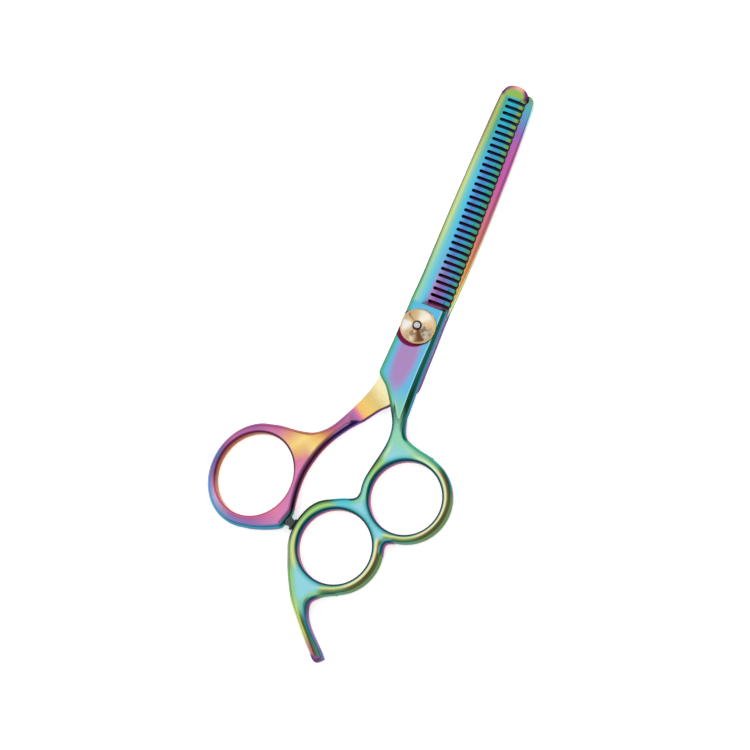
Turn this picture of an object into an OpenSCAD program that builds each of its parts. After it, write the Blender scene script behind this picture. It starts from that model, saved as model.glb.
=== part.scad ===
// Thinning shears: a toothed half and a plain half that turn on an adjustable pivot.
// Millimetres. Origin: on the pivot axis, in the plane the closed shears rest on.
// +Y runs from the pivot to the blade tips, +X to the finger-ring side, +Z up to the knob.

/* [Blades] */
// Distance from the pivot axis to the tip of the toothed blade
tip_y = 74.8; // [74.5:0.1:74.8]
// Distance from the pivot axis to the tip of the plain blade
plain_tip_y = 73.3; // [73.3:0.1:73.6]
// Number of slots cut in the toothed blade
slot_count = 32; // [30:1:32]
// Centre of the slot nearest the pivot, measured along the blade
first_slot_y = 8.2; // [8.2:0.1:8.5]
// Distance from one slot to the next
slot_pitch = 2.0; // [1.95:0.05:2]
// Width of one slot
slot_w = 0.85; // [0.75:0.05:0.85]
// Thickness of the toothed blade at its shoulder
blade_t = 1.85; // [1.2:0.05:2.6]
// Thickness of either blade at its tip
tip_t = 1.2; // [0.8:0.05:2]
// Radius of the hollow grind on the inner faces
grind_r = 45; // [25:1:120]

/* [Pivot block] */
// Height of the plane where the two halves meet
mate_z = 3.05; // [2.5:0.05:4]
// Gap between the two halves
mate_gap = 0.1; // [0.05:0.01:0.3]
// Height of the top of the pivot block
block_top = 6.2; // [5:0.1:8]
// Diameter of the tension knob
knob_d = 10.2; // [8:0.1:14]
// Diameter of the pivot screw
screw_d = 4.0; // [3:0.1:5]
// Running clearance on radius round the pivot screw
run_gap = 0.05; // [0.02:0.01:0.1]

/* [Handles] */
// Height of the rings and shanks
handle_h = 5.0; // [4:0.1:7]
// Rounding of the handle edges
edge_r = 1.3; // [1.1:0.1:1.3]
// Rounding of the finger-hole rims
rim_r = 0.8; // [0.6:0.1:0.8]
// Bore of the front finger ring
ring1_d = 21.0; // [20.6:0.1:21]
// Bore of the rear finger ring
ring2_d = 21.4; // [21:0.1:21.4]
// Short bore of the oval thumb ring
thumb_w = 22.0; // [21.6:0.1:22]
// Long bore of the oval thumb ring
thumb_l = 24.4; // [24:0.1:24.4]
// Diameter of the bumper's neck
bumper_d = 3.0; // [2.5:0.1:5]

/* [Hidden] */
lower_z = mate_z - mate_gap / 2;          // inner face of the plain half
upper_z = mate_z + mate_gap / 2;          // inner face of the toothed half
shoulder_z = upper_z + blade_t;           // outer face of the toothed blade at its shoulder
lay = [-0.83, 0.34];                      // from the drawing's datum to its place at the pivot
ring1_out_d = 26.4;                         // the neck and the web are drawn to meet the rings
ring2_out_d = 26.9;                         // at these outer diameters
comb_tip = tip_y - lay[1];
plain_tip = plain_tip_y - lay[1];
ring1_at = [15.65, -46.55];                // middle of the front bore
ring2_at = [2.15, -66.6];                  // middle of the rear bore
ring1_out_at = [15.6, -46.35];            // middle of the front ring's outline
ring2_out_at = [2.35, -66.55];            // middle of the rear ring's outline
thumb_at = [-27.45, -55.8];
thumb_out_at = [-27.35, -55.95];
thumb_turn = -8.6;                        // lean of the oval thumb ring
thumb_out = [13.2, 15.35];                // half the outline on the short and the long axis
bumper_turn = -16.5;                       // direction the bumper points
bumper_dir = [cos(bumper_turn), sin(bumper_turn)];
boss_at = [-13.75, -64.4];                // where the bumper leaves the thumb ring
bumper_flange = [3.6, 0.6];               // diameter and thickness
ring2_bulge = 0.12;                        // how far the rear ring's side stands out past its circle
bumper_gap = 0.03;                         // clearance to the rear ring when closed
bumper_reach = (ring2_out_at - boss_at) * bumper_dir - ring2_out_d / 2 - ring2_bulge - bumper_gap;
stem = [1.8, 1.9];                        // bumper stem: diameter, length
screw_end_z = 0.85;
bush_d = 7.6;
bush_h = 2.45;
bush_floor = 0.75;
washer_d = 8.6;
glide_t = 0.5;
sleeve_d = 6.4;
click_t = 0.35;
wave_t = 0.2;
knob_z = block_top + click_t + wave_t + 0.02;
knob_rim = 0.45;
knob_h = 1.85;
spigot = [3.0, 1.1];                      // top of the pivot screw: diameter, length
cup_z = 1.3;                              // floor of the knob's cup
stud_r = 1.0;
stud_up = 0.5;                            // middle of the stud's ball above the cup's floor
stud_pin = [1.2, 1.0];                    // pin under the stud's ball: diameter, length
big = 60;
eps = 0.01;

STEEL_CYAN = [0.36, 0.76, 0.82];
STEEL_MAGENTA = [0.80, 0.42, 0.62];
PALE_GOLD = [0.90, 0.82, 0.62];
SILVER = [0.80, 0.81, 0.82];
NYLON = [0.12, 0.12, 0.13];
PTFE = [0.92, 0.92, 0.90];
BRONZE = [0.72, 0.55, 0.32];
RUBBER = [0.20, 0.21, 0.22];

// ---- curves ----

// One point of a Catmull-Rom curve between b and c.
function bend(a, b, c, d, t) = 0.5 * (2 * b + (c - a) * t + (2 * a - 5 * b + 4 * c - d) * t * t
  + (3 * b - a - 3 * c + d) * t * t * t);

// A smooth open curve through the points p, with n steps between neighbours.
function curve(p, n = 4) = [
  for (i = [0:len(p) - 2], k = [0:n - 1])
    bend(p[max(i - 1, 0)], p[i], p[i + 1], p[min(i + 2, len(p) - 1)], k / n),
  p[len(p) - 1]
];

// Points round c on a circle of radius r, from angle a0 to a1 in n steps.
function arc(c, r, a0, a1, n) = oval(c, [r, r], 0, a0, a1, n);

// Points round c on an oval of half sizes h that leans by turn, from angle a0 to a1 in n steps.
function oval(c, h, turn, a0, a1, n) = [
  for (i = [0:n])
    let (a = a0 + (a1 - a0) * i / n, u = [h[0] * cos(a), h[1] * sin(a)])
      c + [u[0] * cos(turn) - u[1] * sin(turn), u[0] * sin(turn) + u[1] * cos(turn)]
];

// ---- shared shapes ----

// Moves what was drawn from the datum to its place at the pivot.
module laid() {
  translate([lay[0], lay[1], 0])
    children();
}

// Puts something drawn from the datum on the pivot axis, at height z.
module at_pivot(z) {
  translate([-lay[0], -lay[1], z])
    children();
}

// A side profile, drawn as [y, z] points, carried across the whole width.
module side_profile(points) {
  translate([-big, 0, 0])
    rotate([90, 0, 90])
      linear_extrude(2 * big)
        polygon(points);
}

// A plan shape from z = 0 to h with every outer edge rounded by r.
module rounded_plate(h, r) {
  translate([0, 0, r])
    minkowski() {
      linear_extrude(h - 2 * r)
        offset(delta = -r)
          children();
      rotate_extrude($fn = 16)
        polygon(concat([[0, -r]], [for (a = [-54:36:54]) r * [cos(a), sin(a)]], [[0, r]]));
    }
}

// A finger hole: a straight bore whose two mouths flare with a round lip.
module finger_hole(d, h, lip) {
  rotate_extrude($fn = 96)
    polygon(concat(
      [[0, -1], [d / 2 + lip, -1]],
      [for (a = [270:-15:180]) [d / 2 + lip + lip * cos(a), lip + lip * sin(a)]],
      [for (a = [180:-15:90]) [d / 2 + lip + lip * cos(a), h - lip + lip * sin(a)]],
      [[d / 2 + lip, h + 1], [0, h + 1]]
    ));
}

// A flat ring.
module washer(outer, inner, t) {
  difference() {
    cylinder(d = outer, h = t, $fn = 72);
    translate([0, 0, -1])
      cylinder(d = inner, h = t + 2, $fn = 72);
  }
}

// ---- toothed half ----

// Plan of the toothed blade, its pivot block and the start of its shank.
module comb_plan() {
  spine = curve([[4.5, -33.5], [4.45, -31], [3.75, -28.1], [2.25, -25.2], [0.4, -22.1],
    [-1.6, -19.3], [-3.4, -17.7], [-4.6, -16.6], [-4.93, -15.2], [-4.75, -10], [-4.5, 0], [-4.5, 24],
    [-4.4, 40], [-4.05, 60], [-3.72, 70]]);
  tip = curve([[-3.72, 70], [-3.5, 72], [-2.1, comb_tip - 0.65], [0.6, comb_tip],
    [3.05, comb_tip - 0.7], [4.25, comb_tip - 2.1]]);
  teeth = [[4.25, 69], [4.55, 60], [5.15, 45], [5.95, 24], [6.45, 8.5]];
  block = curve([[6.5, 4], [6.62, -2], [6.75, -10], [6.9, -15], [7.1, -20], [7.3, -24], [7.5, -27],
    [8.1, -29.4], [9.2, -31.3], [11.7, -32.3], [14, -33.3]]);
  polygon(concat(spine, tip, teeth, block));
}

// Neck, finger rings and finger rest, seen from above, as one outline.
module finger_plan() {
  neck_left = curve([[3.75, -28.1], [4.45, -31], [4.45, -34], [3.85, -38], [3.0, -42],
    [2.42, -45.2]], 2);
  ring1_left = arc(ring1_out_at, ring1_out_d / 2, 183, 195, 3);
  ring2_left = curve([[2.75, -49.9], [2.6, -50.8], [2.1, -51.6], [1.2, -52.15], [-0.2, -52.6],
    [-2.0, -53.35], [-4.0, -54.35], [-6.2, -55.5], [-7.9, -56.9], [-9.3, -58.8], [-10.4, -61.3],
    [-11.1, -64], [-11.35, -66.8], [-11.2, -69], [-10.8, -71], [-10.0, -73]], 2);
  rest = curve([[-9.2, -75], [-8.35, -76.9], [-6.35, -80.8], [-4.0, -84.75], [-1.3, -88.15],
    [3.75, -93.7], [8.1, -98.0], [9.1, -98.6], [9.85, -98.45], [11.25, -97.1], [11.25, -96.6],
    [9.55, -94.8], [7, -92.5], [4.4, -90], [2.5, -87.45], [1.6, -85.2], [1.6, -83.4],
    [3.15, -81.65], [5.3, -80.15], [7.3, -79.25]], 2);
  ring2_right = arc(ring2_out_at, ring2_out_d / 2, -65, 10, 16);
  web = curve([[15.5, -63.2], [15.22, -62.2], [15.15, -61.2], [15.7, -60.3], [16.6, -59.8]], 2);
  ring1_right = arc(ring1_out_at, ring1_out_d / 2, -82, 78, 34);
  neck_right = curve([[16.4, -32.9], [13.8, -32.4], [11.1, -31.65], [9.25, -30.7], [8.1, -29.15],
    [7.6, -27.8]], 2);
  polygon(concat(neck_left, ring1_left, ring2_left, rest, ring2_right, web, ring1_right,
    neck_right));
}

// Cuts the slots between the teeth, each with a round root.
module slots() {
  for (i = [0:slot_count - 1]) {
    y = first_slot_y - lay[1] + i * slot_pitch;
    root = 0.15 - 0.019 * (y - 8);
    translate([root + slot_w / 2, y, 0])
      cylinder(d = slot_w, h = 10, $fn = 24);
    translate([root + slot_w / 2, y - slot_w / 2, 0])
      cube([10, slot_w, 10]);
  }
}

// A long round cutter that hollows an inner face lying at height z.
module hollow_grind(z, depth, x, side) {
  translate([x, 9, z + side * (depth - grind_r)])
    rotate([-90, 0, 0])
      cylinder(r = grind_r, h = 80, $fn = 180);
}

module comb_half() {
  color(STEEL_CYAN)
    laid()
      comb_shape();
}

// The toothed half as drawn from the datum.
module comb_shape() {
  difference() {
    union() {
      intersection() {
        translate([0, 0, -1])
          linear_extrude(9)
            comb_plan();
        side_profile([[comb_tip + 1, upper_z], [comb_tip + 1, upper_z + tip_t], [7.6, shoulder_z],
          [6.2, block_top], [-18, block_top], [-25, 5.6], [-30, 5.05], [-35, handle_h - 0.1],
          [-35, 0.1], [-29, 0.1], [-27, 1.4], [-25.4, upper_z]]);
      }
      rounded_plate(handle_h, edge_r)
        finger_plan();
    }
    translate(ring1_at)
      finger_hole(ring1_d, handle_h, rim_r);
    translate(ring2_at)
      finger_hole(ring2_d, handle_h, rim_r);
    slots();
    // outer bevel along the spine
    translate([-4.5, 6.2, shoulder_z - 0.85])
      rotate([0, -24, 0])
        translate([-6, 0, 0])
          cube([9, 80, 6]);
    // bevel down to the tooth tips
    translate([6.4, 8, upper_z + 0.45])
      rotate([0, 0, 2.1])
        rotate([0, 24, 0])
          translate([-4, -2, 0])
            cube([9, 80, 6]);
    hollow_grind(upper_z, 0.12, 1.0, 1);
    at_pivot(upper_z - 1)
      cylinder(d = sleeve_d, h = 8, $fn = 72);
  }
}

// ---- plain half ----

// Plan of the plain blade, its pivot block and the flat of its shank.
module plain_plan() {
  edge = [[-8.9, -31.5], [-9.05, -29.5], [-8.15, -27], [-7.25, -25], [-6.3, -22.5], [-5.6, -20],
    [-5.1, -17.5], [-4.6, -14], [-4.4, 0], [-4.2, 6], [-3.1, 10], [-2.7, 40], [-2.4, 62], [-2.1, 69.5]];
  tip = curve([[-2.1, 69.5], [-0.9, 71.2], [1.0, 72.2], [2.9, plain_tip - 0.3], [4.3, plain_tip],
    [5.4, plain_tip - 0.5], [6.35, 70]]);
  back = curve([[6.35, 70], [6.85, 60], [7.15, 50], [7.35, 34], [7.15, 20], [6.8, 10], [6.5, 4],
    [6.65, -4], [6.7, -10], [6.8, -15.5], [6.45, -17.4], [5.3, -18.8], [2.8, -21], [0.4, -24],
    [-1.4, -25.9], [-3.3, -28.4], [-4.5, -30.1], [-5.3, -31.5]]);
  polygon(concat(edge, tip, back));
}

// Shank, thumb ring and the boss that carries the bumper, seen from above, as one outline.
module thumb_plan() {
  shank_out = curve([[-8.7, -28.6], [-10.35, -32], [-12.05, -34.9], [-14.15, -37.2],
    [-16.6, -38.8], [-20, -39.6], [-23, -39.92], [-26, -40.2], [-28.4, -40.75]], 2);
  ring = oval(thumb_out_at, thumb_out, thumb_turn, 113, 285, 38);
  boss = [[-22.6, -70.5], [-19, -69.3], [-16.3, -68.1], [-14.95, -67.3], [-14.4, -66.7]];
  shank_in = curve([[-13.15, -62.5], [-13.2, -61.3], [-13.75, -58], [-14.15, -54], [-14.05, -50],
    [-13.3, -46], [-12.05, -42], [-10.1, -38], [-7.45, -34], [-4.5, -30.1], [-3.5, -28.7]], 2);
  polygon(concat(shank_out, ring, boss, shank_in));
}

module plain_half() {
  color(STEEL_MAGENTA)
    laid()
      plain_shape();
}

// The plain half as drawn from the datum.
module plain_shape() {
  difference() {
    union() {
      intersection() {
        translate([0, 0, -1])
          linear_extrude(7)
            plain_plan();
        side_profile([[-32, 0.5], [-30, 0], [5.5, 0], [7, 0.85], [plain_tip + 1, lower_z - tip_t],
          [plain_tip + 1, lower_z], [-29.4, lower_z], [-30.1, 3.3], [-30.7, 4], [-31, 4.7],
          [-32, 4.9]]);
      }
      intersection() {
        rounded_plate(handle_h, edge_r)
          thumb_plan();
        side_profile([[-90, -1], [-29.4, -1], [-29.4, lower_z], [-30.1, 3.3], [-30.7, 4],
          [-31.2, 4.7], [-32.5, 5.2], [-90, 5.2]]);
      }
    }
    translate(thumb_at)
      rotate(thumb_turn)
        scale([thumb_w / thumb_l, 1, 1])
          finger_hole(thumb_l, handle_h, rim_r);
    // bevel along the back of the blade
    translate([6.9, 7, lower_z - 0.5])
      rotate([0, 128, 0])
        translate([-3, 0, 0])
          cube([6, 80, 3]);
    // bevel down to the cutting edge
    translate([-2.9, 7, lower_z - 0.35])
      rotate([0, 0, -1.2])
        rotate([0, 203, 0])
          translate([-6, 0, 0])
            cube([9, 80, 5]);
    at_pivot(-1)
      cylinder(d = bush_d, h = bush_h + 1, $fn = 72);
    at_pivot(bush_h)
      cylinder(d = washer_d, h = 2, $fn = 72);
    hollow_grind(lower_z, 0.12, 2.0, -1);
    bumper_frame()
      translate([0, 0, -stem[1]])
        cylinder(d = stem[0], h = stem[1] + 1, $fn = 36);
  }
}

// ---- pivot ----

// The domed knob that sets the blade tension.
module tension_knob() {
  r = knob_d / 2;
  color(PALE_GOLD)
    translate([0, 0, knob_z])
      difference() {
        rotate_extrude($fn = 120)
          polygon(concat(
            [[0, 0], [r - 0.25, 0], [r, 0.2], [r, knob_rim]],
            curve([[r - 0.15, knob_rim + 0.2], [3.9, 1.12], [2.6, 1.56], [1.6, knob_h], [1.25, 1.75],
              [0.9, 1.35], [0, cup_z]], 3)
          ));
        translate([0, 0, -1])
          cylinder(d = spigot[0], h = spigot[1] + 1, $fn = 48);
        cylinder(d = stud_pin[0], h = 3, $fn = 36);
      }
}

// The small bright ball set in the middle of the knob.
module knob_stud() {
  color(SILVER)
    translate([0, 0, knob_z + cup_z])
      difference() {
        union() {
          translate([0, 0, stud_up])
            sphere(r = stud_r, $fn = 48);
          translate([0, 0, -stud_pin[1]])
            cylinder(d = stud_pin[0], h = stud_pin[1] + 0.2, $fn = 36);
        }
        translate([0, 0, -2])
          washer(6, stud_pin[0], 2);
      }
}

// The pivot screw, with a spigot that carries the knob.
module pivot_screw() {
  color(SILVER)
    difference() {
      union() {
        translate([0, 0, screw_end_z])
          cylinder(d = screw_d, h = knob_z - screw_end_z, $fn = 72);
        translate([0, 0, knob_z - 1])
          cylinder(d = spigot[0], h = spigot[1] + 1, $fn = 48);
      }
      translate([0, 0, knob_z + cup_z - stud_pin[1]])
        cylinder(d = stud_pin[0], h = 5, $fn = 36);
    }
}

// The thin spring washer under the knob.
module wave_washer() {
  color(SILVER)
    translate([0, 0, block_top + click_t])
      washer(washer_d, screw_d + 0.3, wave_t);
}

// The nylon washer that holds the knob's setting.
module click_washer() {
  color(NYLON)
    translate([0, 0, block_top])
      washer(washer_d, screw_d + 0.3, click_t);
}

// The plain bearing pressed into the toothed half.
module pivot_sleeve() {
  color(BRONZE)
    translate([0, 0, upper_z])
      washer(sleeve_d, screw_d + 2 * run_gap, block_top - upper_z);
}

// The slippery washer let into the plain half.
module glide_washer() {
  color(PTFE)
    translate([0, 0, bush_h])
      washer(washer_d, screw_d + 0.4, upper_z - 0.01 - bush_h);
}

// The threaded bush pressed in from behind, flush with the back, with two spanner notches.
module rear_bush() {
  color(SILVER)
    difference() {
      cylinder(d = bush_d, h = bush_h, $fn = 72);
      translate([0, 0, bush_floor])
        cylinder(d = screw_d + 2 * run_gap, h = bush_h, $fn = 72);
      for (s = [-1, 1])
        translate([s * 2.9, 0, -1])
          cylinder(d = 0.9, h = 1.5, $fn = 24);
    }
}

// ---- bumper ----

// Puts +Z along the bumper, starting where it leaves the thumb ring.
module bumper_frame() {
  translate([boss_at[0], boss_at[1], handle_h / 2])
    rotate([0, 90, bumper_turn])
      children();
}

// The rubber stop between the thumb ring and the rear finger ring.
module bumper() {
  reach = bumper_reach;
  flange_r = bumper_flange[0] / 2;
  neck_r = bumper_d / 2;
  color(RUBBER)
    laid()
      bumper_frame()
        union() {
          translate([0, 0, -stem[1] + 0.1])
            cylinder(d = stem[0], h = stem[1], $fn = 36);
          rotate_extrude($fn = 60)
            polygon([[0, 0], [neck_r, 0], [neck_r, 0.5], [neck_r - 0.25, 0.7],
              [neck_r - 0.25, reach - bumper_flange[1] - 0.2], [flange_r, reach - bumper_flange[1]],
              [flange_r, reach - 0.2], [flange_r - 0.3, reach], [0, reach]]);
        }
}

comb_half();
plain_half();
tension_knob();
knob_stud();
pivot_screw();
wave_washer();
click_washer();
pivot_sleeve();
glide_washer();
rear_bush();
bumper();
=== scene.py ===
import math

import bpy
import numpy as np
from mathutils import Matrix, Vector
from mathutils.geometry import delaunay_2d_cdt


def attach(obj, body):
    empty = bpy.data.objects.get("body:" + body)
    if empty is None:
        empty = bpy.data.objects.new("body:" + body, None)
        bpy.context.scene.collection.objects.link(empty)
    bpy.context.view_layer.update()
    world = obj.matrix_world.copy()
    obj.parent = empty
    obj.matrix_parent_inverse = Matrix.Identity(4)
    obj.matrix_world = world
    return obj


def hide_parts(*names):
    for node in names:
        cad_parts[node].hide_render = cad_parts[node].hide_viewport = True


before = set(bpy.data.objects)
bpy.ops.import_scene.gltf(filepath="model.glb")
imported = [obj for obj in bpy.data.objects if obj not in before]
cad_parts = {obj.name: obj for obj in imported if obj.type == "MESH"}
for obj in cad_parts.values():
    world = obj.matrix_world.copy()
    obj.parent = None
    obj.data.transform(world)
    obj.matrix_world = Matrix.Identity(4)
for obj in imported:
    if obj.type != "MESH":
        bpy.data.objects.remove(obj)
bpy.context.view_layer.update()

# All drawing below is in millimetres, in the CAD frame: origin on the pivot axis in the rest
# plane, +Y to the blade tips, +X to the finger rings, +Z up to the knob.
MM = 0.001

# ------------------------------ sizes shared with the CAD
# The blades and handles are drawn from a datum that lies LAY from the pivot axis.
LAY = (-0.83, 0.34)
TIP_Y = 74.46
PLAIN_TIP_Y = 72.96
SLOTS = 32
SLOT_Y0 = 7.86
SLOT_PITCH = 2.0
SLOT_W = 0.85
MATE_LOW = 3.0           # inner face of the plain half
MATE_HIGH = 3.1          # inner face of the toothed half
BLOCK_TOP = 6.2          # top of the pivot block
SHOULDER = 4.95          # top of the toothed blade beside the block
HANDLE_H = 5.0           # top of the handles
RING1 = (15.65, -46.55, 10.5)           # finger bores: middle and radius
RING2 = (2.15, -66.6, 10.7)
RING1_OUT = (15.6, -46.35, 13.2)        # outlines of the finger rings: middle and radius
RING2_OUT = (2.35, -66.55, 13.45)
HOLE_RIM = 0.8                          # rounding of the rims of all three holes
THUMB, THUMB_BORE = (-27.45, -55.8), (11.0, 12.2)       # thumb hole: middle and half-axes
THUMB_OUT, THUMB_HALF = (-27.35, -55.95), (13.2, 15.35)     # outline of the thumb ring
THUMB_TURN = -8.6                       # degrees by which both ovals are turned


# ------------------------------ fineness of the meshes
STEP = 0.5               # the longest side of an outline
SAME_POINT = 0.02        # points closer than this are one point
ROWS = 7                 # rows of points over a rounded edge
LINE_GAP = 0.25          # the grid keeps this far from the drawn lines
EDGE_GAP = 0.06          # the drawn lines keep this far from the outline
THINNEST = 0.04          # least thickness, at the sharp edges
FAR = 40.0               # larger distances from a bore are stored as this
CHUNK = 4000             # points measured at a time, to keep memory small
SHARP_ANGLE = 19         # degrees between faces that meet in a hard edge


# ------------------------------ plan curves
def curve(points, n=6):
    """A smooth open Catmull-Rom curve through the points."""
    p = np.array(points, float)
    out = []
    for i in range(len(p) - 1):
        a, b, c, d = p[max(i - 1, 0)], p[i], p[i + 1], p[min(i + 2, len(p) - 1)]
        for k in range(n):
            t = k / n
            out.append(0.5 * (2 * b + (c - a) * t + (2 * a - 5 * b + 4 * c - d) * t * t
                              + (3 * b - a - 3 * c + d) * t ** 3))
    out.append(p[-1])
    return [tuple(q) for q in out]


def oval(cx, cy, rx, ry, turn, start, end, n):
    """n points of an ellipse whose axes are turned by turn degrees, from start to end degrees."""
    t = math.radians(turn)
    out = []
    for a in np.radians(np.linspace(start, end, n)):
        x, y = rx * math.cos(a), ry * math.sin(a)
        out.append((cx + x * math.cos(t) - y * math.sin(t), cy + x * math.sin(t) + y * math.cos(t)))
    return out


def arc(cx, cy, r, start, end, n):
    return oval(cx, cy, r, r, 0, start, end, n)


def even(points):
    """The same closed outline with points at most STEP apart, and none on top of each other."""
    p = [points[0]]
    for q in points[1:]:
        if math.dist(p[-1], q) > SAME_POINT:
            p.append(q)
    if math.dist(p[0], p[-1]) < SAME_POINT:
        p.pop()
    out = []
    for a, b in zip(p, p[1:] + p[:1]):
        k = max(1, math.ceil(math.dist(a, b) / STEP))
        out += [(a[0] + (b[0] - a[0]) * j / k, a[1] + (b[1] - a[1]) * j / k) for j in range(k)]
    return np.array(out)


def lerp(v, xs, ys):
    return np.interp(v, xs, ys)


def soft(v, lo, hi):
    t = np.clip((v - lo) / (hi - lo), 0, 1)
    return t * t * (3 - 2 * t)


def tooth_tip(y):
    return lerp(y, [7.0, 24, 45, 60, 69, 71], [6.45, 5.95, 5.15, 4.55, 4.25, 4.2])


def tooth_root(y):
    return 0.15 - 0.019 * (y - 8)


def bevel_line(y):
    """Where the flat of the toothed blade turns down to its spine."""
    return lerp(y, [6, 12, 40, 66, 72], [-3.0, -2.9, -2.75, -2.35, -2.0])


def tooth_line(y):
    """Where the teeth start to slope down to their tips."""
    return tooth_tip(y) - 1.9


def comb_outline():
    right = [(6.5, 4.0), (6.47, 6.2)]
    for i in range(SLOTS):
        y = SLOT_Y0 + i * SLOT_PITCH
        lo, hi = y - SLOT_W / 2, y + SLOT_W / 2
        root = tooth_root(y) + SLOT_W / 2
        right += [(tooth_tip(lo) - 0.12, lo - 0.1) if i else (6.42, lo - 0.1), (tooth_tip(lo) - 0.22, lo)]
        right += [(x, lo) for x in np.arange(tooth_tip(lo) - 0.9, root + 0.2, -0.7)]
        right += arc(root, y, SLOT_W / 2, 270, 90, 9)
        right += [(x, hi) for x in np.arange(root + 0.6, tooth_tip(hi) - 0.6, 0.7)]
        right += [(tooth_tip(hi) - 0.22, hi), (tooth_tip(hi) - 0.12, hi + 0.1)]
    tip = curve([
        (4.22, 70.6), (4.25, 72.1), (3.05, TIP_Y - 0.7), (0.6, TIP_Y), (-2.1, TIP_Y - 0.65), (-3.5, 72),
        (-3.72, 70)])
    spine = curve([
        (-3.72, 70), (-4.05, 60), (-4.4, 40), (-4.5, 24), (-4.5, 0), (-4.75, -10), (-4.93, -15.2),
        (-4.6, -16.6), (-3.4, -17.7), (-1.6, -19.3), (0.4, -22.1), (2.25, -25.2), (3.75, -28.1),
        (4.42, -31), (4.45, -34), (3.85, -38), (3.0, -42), (2.42, -45.2)])
    c1, c2 = RING1_OUT, RING2_OUT
    ring1_left = arc(*c1, 181, 193, 8)
    notch_left = curve([
        (2.75, -49.9), (2.6, -50.8), (2.1, -51.6), (1.2, -52.15), (-0.2, -52.6), (-2.0, -53.35),
        (-4.0, -54.35), (-6.2, -55.5), (-7.9, -56.9), (-9.3, -58.8), (-10.4, -61.3), (-11.1, -64),
        (-11.35, -66.8), (-11.2, -69), (-10.8, -71), (-10.0, -73)])
    rest_out = curve([
        (-10.0, -73), (-8.35, -76.9), (-6.35, -80.8), (-4.0, -84.75), (-1.3, -88.15), (3.75, -93.7),
        (8.1, -98.0)])
    tail = curve([
        (8.1, -98.0), (9.1, -98.6), (9.85, -98.45), (11.25, -97.1), (11.25, -96.6), (9.55, -94.8)], 4)
    rest_in = curve([
        (9.55, -94.8), (7, -92.5), (4.4, -90), (2.5, -87.45), (1.6, -85.2), (1.6, -83.4), (3.15, -81.65),
        (5.3, -80.15), (7.7, -79.1)])
    ring2_right = arc(*c2, -65, 10, 50)
    notch_right = curve([(15.7, -64.0), (15.25, -62.4), (15.15, -61.2), (15.7, -60.3), (17.2, -59.75)])
    ring1_right = arc(*c1, -82, 78, 110)
    neck = curve([
        (18.5, -33.3), (16.4, -32.9), (13.8, -32.4), (11.1, -31.65), (9.25, -30.7), (8.1, -29.15),
        (7.5, -27), (7.3, -24), (7.1, -20), (6.9, -15), (6.75, -10), (6.62, -2), (6.5, 4)])
    return (right + tip + spine + ring1_left + notch_left + rest_out + tail + rest_in
            + ring2_right + notch_right + ring1_right + neck)


def plain_outline():
    back = curve([
        (5.3, -18.8), (6.45, -17.4), (6.8, -15.5), (6.7, -10), (6.65, -4), (6.5, 4), (6.8, 10), (7.15, 20),
        (7.35, 34), (7.15, 50), (6.85, 60), (6.35, 70)])
    tip = curve([
        (6.35, 70), (5.95, 71.8), (5.3, PLAIN_TIP_Y - 0.4), (4.3, PLAIN_TIP_Y), (2.9, PLAIN_TIP_Y - 0.3),
        (1.0, 72.2), (-0.9, 71.2), (-2.1, 69.5)])
    edge = [(-2.1, 69.5), (-2.4, 62), (-2.7, 40), (-3.1, 10), (-4.2, 6), (-4.4, 0), (-4.6, -14)]
    left = curve([
        (-4.6, -14), (-5.1, -17.5), (-5.6, -20), (-6.3, -22.5), (-7.25, -25), (-8.15, -27), (-9.05, -29.3),
        (-10.35, -32), (-12.05, -34.9), (-14.15, -37.2), (-16.6, -38.8), (-20, -39.6), (-23, -39.92),
        (-26, -40.2), (-28.4, -40.75)])
    ring = oval(*THUMB_OUT, *THUMB_HALF, THUMB_TURN, 112, 286, 120)
    boss = curve([(-22.6, -70.5), (-19, -69.3), (-16.3, -68.1), (-14.95, -67.3), (-14.4, -66.7)])
    face = [(-14.4, -66.7), (-13.15, -62.5)]
    inner = curve([
        (-13.15, -62.5), (-13.2, -61.3), (-13.75, -58), (-14.15, -54), (-14.05, -50), (-13.3, -46),
        (-12.05, -42), (-10.1, -38), (-7.45, -34), (-4.5, -30.1), (-3.3, -28.4), (-1.4, -25.8), (0.4, -24),
        (2.8, -21), (5.3, -18.8)])
    return back + tip + edge + left + ring + boss + face + inner


# ------------------------------ solid from a plan and heights
def distance(p, loop):
    """How far each point p is from the closed outline."""
    a = loop
    b = np.roll(loop, -1, 0)
    ab = b - a
    len2 = (ab ** 2).sum(1)
    out = np.empty(len(p))
    for s in range(0, len(p), CHUNK):
        q = p[s:s + CHUNK]
        ap = q[:, None, :] - a[None]
        t = np.clip((ap * ab[None]).sum(2) / len2[None], 0, 1)
        d = ap - t[:, :, None] * ab[None]
        out[s:s + CHUNK] = np.sqrt((d ** 2).sum(2)).min(1)
    return out


def inside(p, loops):
    """True for the points that lie within the outer loop and outside the holes."""
    odd = np.zeros(len(p), bool)
    for loop in loops:
        a, b = loop, np.roll(loop, -1, 0)
        for s in range(0, len(p), CHUNK):
            q = p[s:s + CHUNK]
            y = q[:, 1][:, None]
            cross = (a[:, 1][None] > y) != (b[:, 1][None] > y)
            with np.errstate(divide="ignore", invalid="ignore"):
                x = a[:, 0] + (y - a[:, 1]) / (b[:, 1] - a[:, 1]) * (b[:, 0] - a[:, 0])
            odd[s:s + CHUNK] ^= (cross & (q[:, 0][:, None] < x)).sum(1) % 2 == 1
    return odd


def drop(d, r, h):
    """How far a rounded edge of width r and height h has fallen, at distance d from the rim."""
    t = np.clip(1 - d / r, 0, 1)
    return h * (1 - np.sqrt(1 - t * t))


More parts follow.
